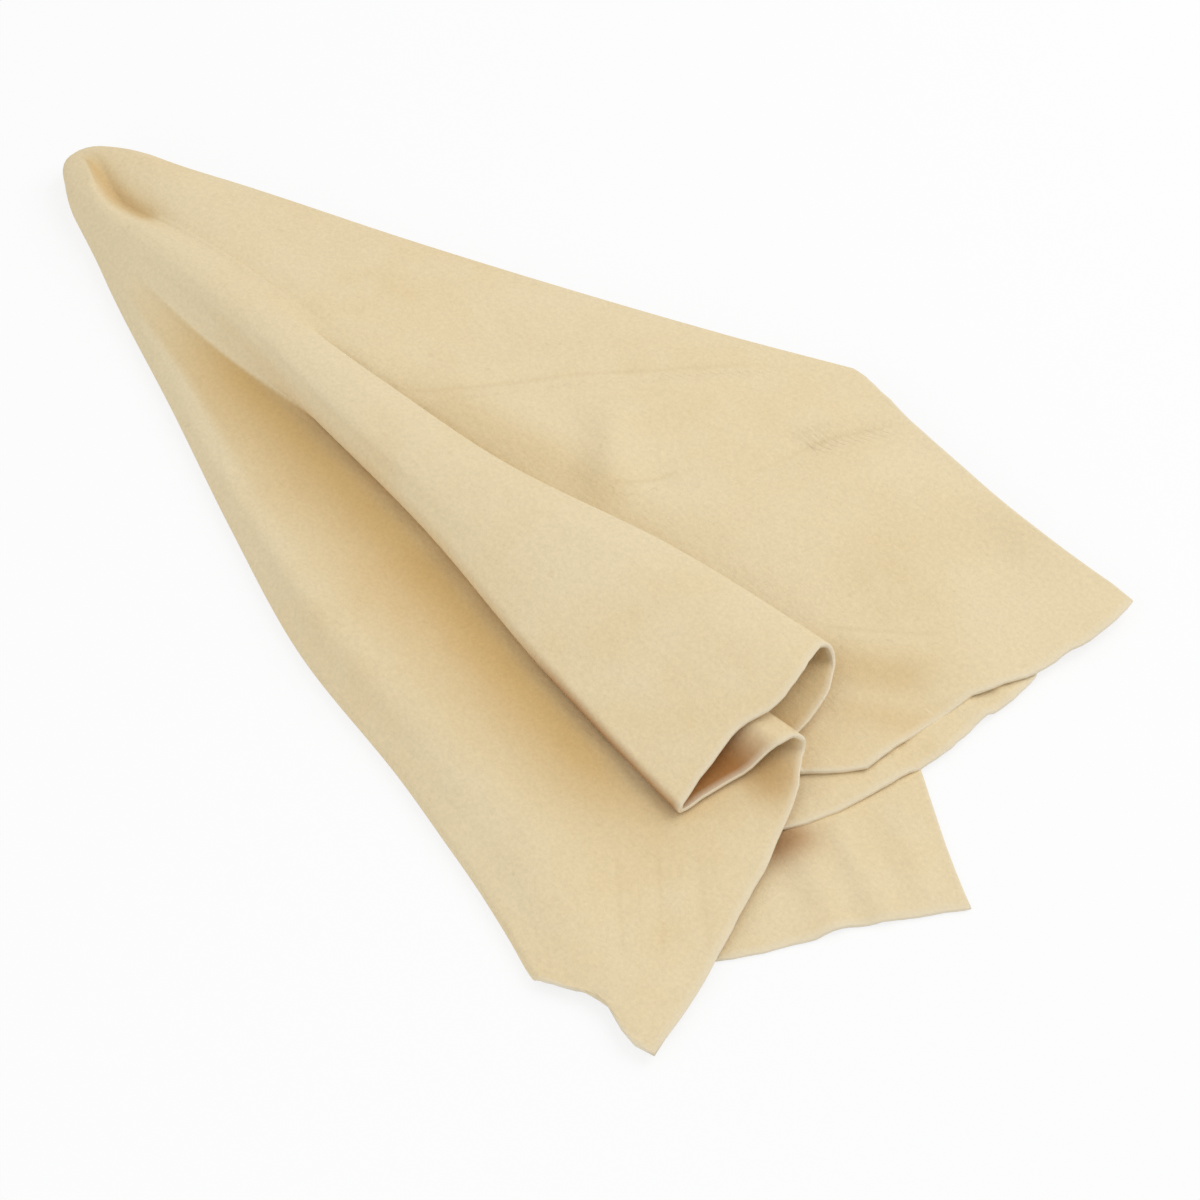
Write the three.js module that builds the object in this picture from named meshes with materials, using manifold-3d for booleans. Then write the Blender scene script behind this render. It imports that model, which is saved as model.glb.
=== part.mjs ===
// A chamois leather, one cut sheet of suede, lying folded as it falls when it is
// picked up near its middle and laid down: a closed round of folds that starts at
// a blunt nose and spreads to an open mouth, with a roll on top of it.
//
// Frame: millimetres, +Z up, the nose at -X, the mouth at +X, the roll on top.
// The origin is at the middle of the bounding box, on the face that it rests on.

import * as THREE from 'three';
import { mergeVertices } from 'three/addons/utils/BufferGeometryUtils.js';
import Module from 'manifold-3d';

// Driving sizes of the sheet and of the heap that it makes
const leatherThickness = 1.5;
const foldedLength = 400;
const halfWidth = 100;
const rollRise = 24;
const noseAhead = 8;
const noseDepth = 22;
const noseRise = 8.25;
const noseAcross = 4.5;
const restCut = 0.5;
const cutOverrun = 20;

// Where along the folded length the shares of each line below are given
const stationShares = [0, 0.05, 0.113, 0.25, 0.375, 0.5, 0.65, 0.825, 1];

// Where the rows of the solid lie: first as shares of noseDepth from the nose, then
// between the last of those and the cut edge
const noseRowShares = [0.1, 0.4, 0.9, 1.35, 1.9];
const openRowShares = [0.18, 0.38, 0.6, 0.8, 1];

// The lines that the section of the heap is drawn through, in order round the
// section: from the right fold over the right panel, the roll, the curl and the
// left panel to the left fold, then back through the three layers beneath.
// Across is a share of halfWidth, rise a share of rollRise above the lowest layer,
// both at every station, and reach, where the sheet is cut, of foldedLength.
const lines = [
  {
    name: 'rightFoldUpper', reachShare: 0.59,
    acrossShares: [0.196, 0.275, 0.38, 0.605, 0.823, 1.055, 1.35, 1.66, 1.98],
    riseShares: [0.413, 0.369, 0.369, 0.377, 0.381, 0.385, 0.365, 0.302, 0.302]
  },
  {
    name: 'rightPanelByCutSide', reachShare: 0.73,
    acrossShares: [0.1819, 0.225, 0.31, 0.5, 0.68, 0.87, 1.055, 1.295, 1.55],
    riseShares: [0.476, 0.51, 0.51, 0.506, 0.51, 0.49, 0.406, 0.281, 0.26]
  },
  {
    name: 'rightPanelCorner', reachShare: 0.897,
    acrossShares: [0.1653, 0.17, 0.23, 0.39, 0.54, 0.7, 0.88, 1.1, 1.33],
    riseShares: [0.514, 0.615, 0.615, 0.573, 0.552, 0.531, 0.427, 0.24, 0.135]
  },
  {
    name: 'rightPanelOuter', reachShare: 0.895,
    acrossShares: [0.1444, 0.13, 0.17, 0.29, 0.42, 0.54, 0.7, 0.88, 1.06],
    riseShares: [0.542, 0.635, 0.635, 0.594, 0.594, 0.573, 0.469, 0.24, 0.177]
  },
  {
    name: 'rightPanelMiddle', reachShare: 0.882,
    acrossShares: [0.1242, 0.09, 0.12, 0.2, 0.28, 0.36, 0.47, 0.58, 0.7],
    riseShares: [0.558, 0.573, 0.594, 0.594, 0.635, 0.594, 0.469, 0.26, 0.219]
  },
  {
    name: 'rightPanelInner', reachShare: 0.887,
    acrossShares: [0.1067, 0.05, 0.05, 0.09, 0.13, 0.17, 0.22, 0.28, 0.34],
    riseShares: [0.565, 0.406, 0.469, 0.594, 0.635, 0.594, 0.469, 0.26, 0.231]
  },
  {
    name: 'innerFoldLower', reachShare: 0.865,
    acrossShares: [0.0908, 0.03, -0.01, -0.02, 0, 0.02, 0.04, 0.07, 0.09],
    riseShares: [0.566, 0.302, 0.385, 0.51, 0.552, 0.531, 0.427, 0.252, 0.231]
  },
  {
    name: 'innerFoldUpper', reachShare: 0.828,
    acrossShares: [0.0791, 0.01, -0.02, -0.025, -0.005, 0.015, 0.035, 0.065, 0.085],
    riseShares: [0.565, 0.302, 0.469, 0.635, 0.677, 0.677, 0.573, 0.385, 0.365]
  },
  {
    name: 'upperLobeFloor', reachShare: 0.818,
    acrossShares: [0.0674, -0.005, -0.02, -0.01, 0.02, 0.05, 0.14, 0.22, 0.28],
    riseShares: [0.561, 0.385, 0.552, 0.719, 0.76, 0.74, 0.635, 0.51, 0.51]
  },
  {
    name: 'rollRightEdgeLower', reachShare: 0.802,
    acrossShares: [0.0556, -0.02, -0.015, 0.01, 0.05, 0.09, 0.23, 0.32, 0.39],
    riseShares: [0.556, 0.51, 0.594, 0.74, 0.76, 0.74, 0.677, 0.594, 0.594]
  },
  {
    name: 'rollRightEdgeUpper', reachShare: 0.795,
    acrossShares: [0.0439, -0.04, -0.03, 0, 0.04, 0.085, 0.23, 0.32, 0.39],
    riseShares: [0.548, 0.635, 0.719, 0.844, 0.906, 0.906, 0.906, 0.906, 0.906]
  },
  {
    name: 'rollTopRight', reachShare: 0.8,
    acrossShares: [0.0278, -0.06, -0.07, -0.06, -0.04, -0.01, 0.09, 0.18, 0.23],
    riseShares: [0.535, 0.698, 0.802, 0.906, 0.969, 0.969, 0.969, 0.948, 0.948]
  },
  {
    name: 'rollTopLeft', reachShare: 0.802,
    acrossShares: [0.0101, -0.075, -0.11, -0.14, -0.14, -0.13, -0.1, -0.08, -0.07],
    riseShares: [0.515, 0.698, 0.802, 0.885, 0.906, 0.885, 0.802, 0.719, 0.698]
  },
  {
    name: 'rollLeftEdgeUpper', reachShare: 0.818,
    acrossShares: [-0.0065, -0.09, -0.145, -0.17, -0.175, -0.22, -0.31, -0.37, -0.4],
    riseShares: [0.49, 0.656, 0.698, 0.74, 0.74, 0.698, 0.615, 0.469, 0.469]
  },
  {
    name: 'rollLeftEdgeLower', reachShare: 0.818,
    acrossShares: [-0.02, -0.1, -0.145, -0.17, -0.175, -0.22, -0.31, -0.37, -0.4],
    riseShares: [0.465, 0.594, 0.615, 0.635, 0.594, 0.531, 0.448, 0.356, 0.344]
  },
  {
    name: 'lowerLobeFloor', reachShare: 0.815,
    acrossShares: [-0.0305, -0.105, -0.16, -0.183, -0.165, -0.165, -0.16, -0.15, -0.14],
    riseShares: [0.442, 0.531, 0.552, 0.552, 0.485, 0.502, 0.435, 0.365, 0.365]
  },
  {
    name: 'riseToCurl', reachShare: 0.823,
    acrossShares: [-0.0384, -0.11, -0.165, -0.185, -0.15, -0.11, -0.08, -0.04, -0.02],
    riseShares: [0.422, 0.49, 0.51, 0.51, 0.494, 0.535, 0.573, 0.677, 0.677]
  },
  {
    name: 'curlUpper', reachShare: 0.83,
    acrossShares: [-0.0456, -0.115, -0.17, -0.188, -0.105, -0.08, -0.03, 0.04, 0.06],
    riseShares: [0.401, 0.448, 0.469, 0.49, 0.51, 0.531, 0.573, 0.656, 0.656]
  },
  {
    name: 'curlLower', reachShare: 0.845,
    acrossShares: [-0.0519, -0.12, -0.175, -0.2, -0.11, -0.085, -0.03, 0.04, 0.06],
    riseShares: [0.378, 0.406, 0.427, 0.406, 0.394, 0.385, 0.356, 0.365, 0.365]
  },
  {
    name: 'leftPanelUnderRoll', reachShare: 0.875,
    acrossShares: [-0.0583, -0.125, -0.18, -0.24, -0.25, -0.24, -0.2, -0.18, -0.16],
    riseShares: [0.351, 0.365, 0.365, 0.365, 0.365, 0.352, 0.294, 0.248, 0.219]
  },
  {
    name: 'leftPanelInner', reachShare: 0.897,
    acrossShares: [-0.0626, -0.128, -0.187, -0.28, -0.35, -0.39, -0.42, -0.45, -0.47],
    riseShares: [0.327, 0.323, 0.323, 0.344, 0.365, 0.365, 0.323, 0.252, 0.177]
  },
  {
    name: 'leftPanelMiddle', reachShare: 0.917,
    acrossShares: [-0.066, -0.13, -0.195, -0.33, -0.44, -0.54, -0.61, -0.66, -0.68],
    riseShares: [0.304, 0.281, 0.281, 0.323, 0.385, 0.427, 0.406, 0.252, 0.135]
  },
  {
    name: 'leftPanelCorner', reachShare: 0.943,
    acrossShares: [-0.0683, -0.132, -0.205, -0.36, -0.51, -0.65, -0.75, -0.93, -1.01],
    riseShares: [0.28, 0.24, 0.26, 0.302, 0.365, 0.406, 0.365, 0.219, 0.023]
  },
  {
    name: 'leftPanelByFold', reachShare: 0.865,
    acrossShares: [-0.0697, -0.135, -0.21, -0.385, -0.545, -0.7, -0.8, -0.94, -1],
    riseShares: [0.256, 0.198, 0.219, 0.26, 0.302, 0.323, 0.281, 0.198, 0.031]
  },
  {
    name: 'leftFoldUpper', reachShare: 0.843,
    acrossShares: [-0.0698, -0.135, -0.22, -0.405, -0.58, -0.74, -0.85, -1.01, -1.08],
    riseShares: [0.224, 0.156, 0.177, 0.219, 0.219, 0.24, 0.219, 0.156, 0.094]
  },
  {
    name: 'leftFoldLower', reachShare: 0.805,
    acrossShares: [-0.0619, -0.125, -0.22, -0.405, -0.58, -0.74, -0.85, -1.01, -1.08],
    riseShares: [0.15, 0.052, 0, 0, 0, 0, 0, 0, 0]
  },
  {
    name: 'bottomLayerLeft', reachShare: 0.6,
    acrossShares: [-0.0305, -0.08, -0.1, -0.22, -0.33, -0.42, -0.52, -0.6, -0.68],
    riseShares: [0.065, 0.006, 0, 0, 0, 0, 0, 0, 0]
  },
  {
    name: 'bottomLayerRight', reachShare: 0.5,
    acrossShares: [0.0188, 0, 0.09, 0.14, 0.2, 0.24, 0.3, 0.36, 0.42],
    riseShares: [0.024, 0, 0, 0, 0, 0, 0, 0, 0]
  },
  {
    name: 'hiddenRightFoldLower', reachShare: 0.512,
    acrossShares: [0.0768, 0.101, 0.22, 0.42, 0.58, 0.75, 0.95, 1.18, 1.4],
    riseShares: [0.033, 0, 0, 0, 0, 0, 0, 0, 0]
  },
  {
    name: 'hiddenRightFoldUpper', reachShare: 0.525,
    acrossShares: [0.0954, 0.11, 0.22, 0.42, 0.58, 0.75, 0.95, 1.18, 1.4],
    riseShares: [0.047, 0.065, 0.125, 0.125, 0.125, 0.125, 0.125, 0.125, 0.125]
  },
  {
    name: 'secondLayerRight', reachShare: 0.613,
    acrossShares: [0.109, 0.1035, 0.17, 0.32, 0.46, 0.6, 0.8, 0.85, 0.8],
    riseShares: [0.06, 0.106, 0.125, 0.125, 0.125, 0.125, 0.073, 0.019, 0]
  },
  {
    name: 'secondLayerCorner', reachShare: 1,
    acrossShares: [0.1199, 0.0955, 0.12, 0.14, 0.16, 0.17, 0.14, 0.1, 0.03],
    riseShares: [0.073, 0.123, 0.125, 0.125, 0.125, 0.125, 0.073, 0.019, 0]
  },
  {
    name: 'secondLayerMiddle', reachShare: 0.965,
    acrossShares: [0.1304, 0.0885, 0.08, 0, -0.03, -0.06, -0.11, -0.16, -0.22],
    riseShares: [0.088, 0.14, 0.125, 0.125, 0.125, 0.125, 0.073, 0.01, 0]
  },
  {
    name: 'secondLayerLeft', reachShare: 0.93,
    acrossShares: [0.1405, 0.082, 0.04, -0.14, -0.2, -0.28, -0.36, -0.44, -0.52],
    riseShares: [0.104, 0.154, 0.125, 0.125, 0.125, 0.125, 0.06, 0, 0]
  },
  {
    name: 'hiddenLeftFoldLower', reachShare: 0.892,
    acrossShares: [0.15, 0.075, 0, -0.26, -0.38, -0.5, -0.62, -0.72, -0.82],
    riseShares: [0.122, 0.185, 0.125, 0.125, 0.125, 0.125, 0.077, 0.006, 0]
  },
  {
    name: 'hiddenLeftFoldUpper', reachShare: 0.885,
    acrossShares: [0.1588, 0.082, 0, -0.26, -0.38, -0.5, -0.62, -0.72, -0.82],
    riseShares: [0.141, 0.277, 0.24, 0.24, 0.24, 0.24, 0.21, 0.144, 0.127]
  },
  {
    name: 'thirdLayerLeft', reachShare: 0.873,
    acrossShares: [0.1669, 0.108, 0.04, -0.04, -0.08, -0.12, -0.16, -0.2, -0.24],
    riseShares: [0.161, 0.298, 0.25, 0.26, 0.26, 0.252, 0.194, 0.131, 0.11]
  },
  {
    name: 'thirdLayerMiddle', reachShare: 0.9,
    acrossShares: [0.1756, 0.138, 0.12, 0.18, 0.22, 0.26, 0.34, 0.42, 0.5],
    riseShares: [0.187, 0.285, 0.26, 0.269, 0.269, 0.252, 0.177, 0.119, 0.094]
  },
  {
    name: 'thirdLayerCorner', reachShare: 0.885,
    acrossShares: [0.1842, 0.173, 0.2, 0.35, 0.48, 0.6, 0.72, 0.84, 0.98],
    riseShares: [0.218, 0.26, 0.24, 0.252, 0.252, 0.252, 0.169, 0.094, 0.052]
  },
  {
    name: 'thirdLayerRight', reachShare: 0.725,
    acrossShares: [0.1926, 0.215, 0.31, 0.51, 0.71, 0.92, 1.14, 1.4, 1.65],
    riseShares: [0.26, 0.219, 0.198, 0.219, 0.219, 0.219, 0.169, 0.094, 0.073]
  },
  {
    name: 'rightFoldLower', reachShare: 0.59,
    acrossShares: [0.1987, 0.275, 0.38, 0.605, 0.823, 1.055, 1.35, 1.66, 1.98],
    riseShares: [0.312, 0.198, 0.169, 0.148, 0.148, 0.148, 0.135, 0.135, 0.135]
  }
];

// Neighbouring lines that turn back on each other, with the tip of a fold between
const foldPairs = [
  ['rightFoldLower', 'rightFoldUpper'],
  ['innerFoldLower', 'innerFoldUpper'],
  ['rollRightEdgeLower', 'rollRightEdgeUpper'],
  ['rollLeftEdgeUpper', 'rollLeftEdgeLower'],
  ['curlUpper', 'curlLower'],
  ['leftFoldUpper', 'leftFoldLower'],
  ['hiddenRightFoldLower', 'hiddenRightFoldUpper'],
  ['hiddenLeftFoldLower', 'hiddenLeftFoldUpper']
];

const stations = stationShares.map((share) => share * foldedLength);

// The lines with one more on each side of every fold, as far from it as the fold
// is high but at most half way to the next line, so that the layers lie flat up to
// their folds and the folds turn round
function linesWithApproaches() {
  const eased = [];
  const between = (line, neighbour, partner) => {
    const shares = stations.map((station, s) => {
      const apart = (other) => Math.hypot(
        halfWidth * (line.acrossShares[s] - other.acrossShares[s]),
        rollRise * (line.riseShares[s] - other.riseShares[s])
      );
      return Math.min(1 / 2, apart(partner) / apart(neighbour));
    });
    const mix = (key) => shares.map(
      (share, s) => THREE.MathUtils.lerp(line[key][s], neighbour[key][s], share)
    );
    return {
      reachShare: THREE.MathUtils.lerp(line.reachShare, neighbour.reachShare, shares[shares.length - 1]),
      acrossShares: mix('acrossShares'),
      riseShares: mix('riseShares')
    };
  };
  lines.forEach((line, i) => {
    const previous = lines[(i - 1 + lines.length) % lines.length];
    const next = lines[(i + 1) % lines.length];
    if (foldPairs.some(([from, to]) => from === line.name && to === next.name)) {
      eased.push(between(line, previous, next));
    }
    eased.push(line);
    if (foldPairs.some(([from, to]) => from === previous.name && to === line.name)) {
      eased.push(between(line, next, previous));
    }
  });
  return eased;
}

const guides = linesWithApproaches();
const guideCount = guides.length;

// Smooth curve through one value per station, read at x
function alongStations(shares, size, x) {
  const last = stations.length - 1;
  const at = THREE.MathUtils.clamp(x, stations[0], stations[last]);
  let i = 0;
  while (i < last - 1 && at > stations[i + 1]) {
    i += 1;
  }
  const slope = (k) => {
    const before = Math.max(k - 1, 0);
    const after = Math.min(k + 1, last);
    return (shares[after] - shares[before]) / (stations[after] - stations[before]);
  };
  const span = stations[i + 1] - stations[i];
  const t = (at - stations[i]) / span;
  const t2 = t * t;
  const t3 = t2 * t;
  const rise = (2 * t3 - 3 * t2 + 1) * shares[i] + (3 * t2 - 2 * t3) * shares[i + 1];
  const lean = (t3 - 2 * t2 + t) * slope(i) + (t3 - t2) * slope(i + 1);
  return size * (rise + lean * span);
}

// Where the rows lie on a guide: those at the nose, then on to where the sheet is cut
function rowPlaces(guide) {
  const noseRows = noseRowShares.map((share) => share * noseDepth - noseAhead);
  const start = noseRows[noseRows.length - 1];
  const reach = guide.reachShare * foldedLength;
  return [...noseRows, ...openRowShares.map((share) => THREE.MathUtils.lerp(start, reach, share))];
}

// Middle of the sheet's thickness on guide g at x. The section is a closed quadratic
// B-spline through the guides, which gives a guide three quarters of its own place
// and an eighth of each neighbour's; towards the nose it closes like a dome.
function middleOfSheet(g, x) {
  const near = [
    { guide: guides[(g - 1 + guideCount) % guideCount], weight: 1 / 8 },
    { guide: guides[g], weight: 3 / 4 },
    { guide: guides[(g + 1) % guideCount], weight: 1 / 8 }
  ];
  let across = 0;
  let rise = 0;
  for (const { guide, weight } of near) {
    across += weight * alongStations(guide.acrossShares, halfWidth, x);
    rise += weight * alongStations(guide.riseShares, rollRise, x);
  }
  const t = THREE.MathUtils.clamp((x + noseAhead) / noseDepth, 0, 1);
  const dome = Math.sqrt(t * (2 - t));
  return new THREE.Vector3(
    x,
    THREE.MathUtils.lerp(noseAcross, across, dome),
    leatherThickness / 2 + THREE.MathUtils.lerp(noseRise, rise, dome)
  );
}

// Both faces of the sheet, half a thickness to each side of its middle, the inner
// one first, joined at the cut edge and closed at the nose
function sheetGeometry() {
  const middle = guides.map((guide, g) => rowPlaces(guide).map((x) => middleOfSheet(g, x)));
  const columns = guideCount;
  const rows = middle[0].length;
  const positions = [];
  for (const side of [1, -1]) {
    const offset = side * leatherThickness / 2;
    positions.push(-noseAhead + offset, noseAcross, leatherThickness / 2 + noseRise);
    for (let c = 0; c < columns; c += 1) {
      const next = middle[(c + 1) % columns];
      const previous = middle[(c - 1 + columns) % columns];
      for (let r = 0; r < rows; r += 1) {
        const ahead = middle[c][Math.min(r + 1, rows - 1)];
        const outward = new THREE.Vector3().subVectors(ahead, middle[c][Math.max(r - 1, 0)]);
        const round = new THREE.Vector3().subVectors(next[r], previous[r]);
        const inward = outward.cross(round).normalize();
        const point = middle[c][r].clone().addScaledVector(inward, offset);
        positions.push(point.x, point.y, point.z);
      }
    }
  }
  const faceSize = 1 + columns * rows;
  const vertex = (face, c, r) => face * faceSize + 1 + (c % columns) * rows + r;
  const index = [];
  for (let c = 0; c < columns; c += 1) {
    index.push(0, vertex(0, c, 0), vertex(0, c + 1, 0));
    index.push(faceSize, vertex(1, c + 1, 0), vertex(1, c, 0));
    for (let r = 0; r < rows - 1; r += 1) {
      index.push(vertex(0, c, r), vertex(0, c, r + 1), vertex(0, c + 1, r + 1));
      index.push(vertex(0, c, r), vertex(0, c + 1, r + 1), vertex(0, c + 1, r));
      index.push(vertex(1, c, r), vertex(1, c + 1, r + 1), vertex(1, c, r + 1));
      index.push(vertex(1, c, r), vertex(1, c + 1, r), vertex(1, c + 1, r + 1));
    }
    index.push(vertex(0, c, rows - 1), vertex(1, c, rows - 1), vertex(1, c + 1, rows - 1));
    index.push(vertex(0, c, rows - 1), vertex(1, c + 1, rows - 1), vertex(0, c + 1, rows - 1));
  }
  const geometry = new THREE.BufferGeometry();
  geometry.setAttribute('position', new THREE.Float32BufferAttribute(positions, 3));
  geometry.setIndex(index);
  return geometry;
}

const wasm = await Module();
wasm.setup();

// A closed geometry as a solid that can be cut
function asSolid(geometry) {
  const bare = geometry.clone();
  bare.deleteAttribute('normal');
  bare.deleteAttribute('uv');
  const merged = mergeVertices(bare);
  return new wasm.Manifold(new wasm.Mesh({
    numProp: 3,
    vertProperties: new Float32Array(merged.attributes.position.array),
    triVerts: new Uint32Array(merged.index.array)
  }));
}

function asGeometry(solid) {
  const mesh = solid.getMesh();
  const geometry = new THREE.BufferGeometry();
  geometry.setAttribute('position', new THREE.BufferAttribute(mesh.vertProperties, 3));
  geometry.setIndex(new THREE.BufferAttribute(mesh.triVerts, 1));
  return geometry;
}

// The sheet cut flat where it rests, with its origin in the middle of that face
function restingSheet() {
  const sheet = sheetGeometry();
  sheet.computeBoundingBox();
  const box = sheet.boundingBox;
  const size = box.getSize(new THREE.Vector3());
  const floorDepth = restCut + cutOverrun;
  const floor = new THREE.BoxGeometry(size.x + 2 * cutOverrun, size.y + 2 * cutOverrun, floorDepth);
  floor.translate((box.min.x + box.max.x) / 2, (box.min.y + box.max.y) / 2, restCut - floorDepth / 2);
  const cut = asGeometry(asSolid(sheet).subtract(asSolid(floor)));
  cut.computeBoundingBox();
  const middle = cut.boundingBox.getCenter(new THREE.Vector3());
  cut.translate(-middle.x, -middle.y, -restCut);
  return cut;
}

const suede = new THREE.MeshStandardMaterial({
  color: 0xe6d4ad,
  roughness: 0.95,
  metalness: 0,
  flatShading: true
});

const sheet = new THREE.Mesh(restingSheet(), suede);
sheet.name = 'chamois_sheet';

const group = new THREE.Group();
group.add(sheet);

export default group;
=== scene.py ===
"""A chamois leather lying in folds: one cut sheet of suede, spread from a blunt nose
to an open mouth, with a roll on top. Lengths in the tables are millimetres."""

import bpy
import numpy as np
from mathutils import Matrix


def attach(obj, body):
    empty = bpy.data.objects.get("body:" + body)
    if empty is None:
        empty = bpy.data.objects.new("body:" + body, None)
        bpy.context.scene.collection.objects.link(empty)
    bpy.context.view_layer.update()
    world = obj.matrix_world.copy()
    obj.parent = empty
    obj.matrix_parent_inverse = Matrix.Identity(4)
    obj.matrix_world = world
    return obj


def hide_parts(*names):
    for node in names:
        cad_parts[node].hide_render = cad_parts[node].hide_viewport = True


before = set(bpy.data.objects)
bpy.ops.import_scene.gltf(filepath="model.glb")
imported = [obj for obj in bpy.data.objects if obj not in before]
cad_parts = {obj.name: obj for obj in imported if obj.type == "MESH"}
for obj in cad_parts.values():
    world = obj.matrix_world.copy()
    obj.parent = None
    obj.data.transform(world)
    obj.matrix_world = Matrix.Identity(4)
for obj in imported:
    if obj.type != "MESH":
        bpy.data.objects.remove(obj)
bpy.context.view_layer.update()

MM = 0.001
SKIN = 1.5                      # thickness of the suede
TABLE_TO_FRAME = (-195.627, -10.458, -0.5)
NOSE = (-7.6, 4.5, 7.4)         # where the folds close
NOSE_DEPTH = 22.0               # length over which the nose rounds off
REST_CUT = 0.5                  # depth pressed flat on the ground
STATIONS = np.array([0, 20, 45.2, 100, 150, 200, 260, 330, 400], float)
OPEN_STATION = 6                # the station where the folds lie open
EDGE_STATION = 7                # the station nearest to most of the cut edge

# The mesh round the section: steps in mm where the sheet is seen and where it is
# hidden, the least number of steps to a line, and their number where the sheet turns
SEEN_STEP = 2.4
HIDDEN_STEP = 8.0
LEAST_STEPS = 3
TURN_STEPS = 5

# Rows of the mesh along the folds: over the nose's dome, from there to the end of the
# neck, on to where the folds open, and on to the cut
DOME_ROWS = 12
NECK_ROWS, NECK_END = 6, 33.8
FOLD_ROWS, FOLD_END = 16, 130
OPEN_ROWS = 95

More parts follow.
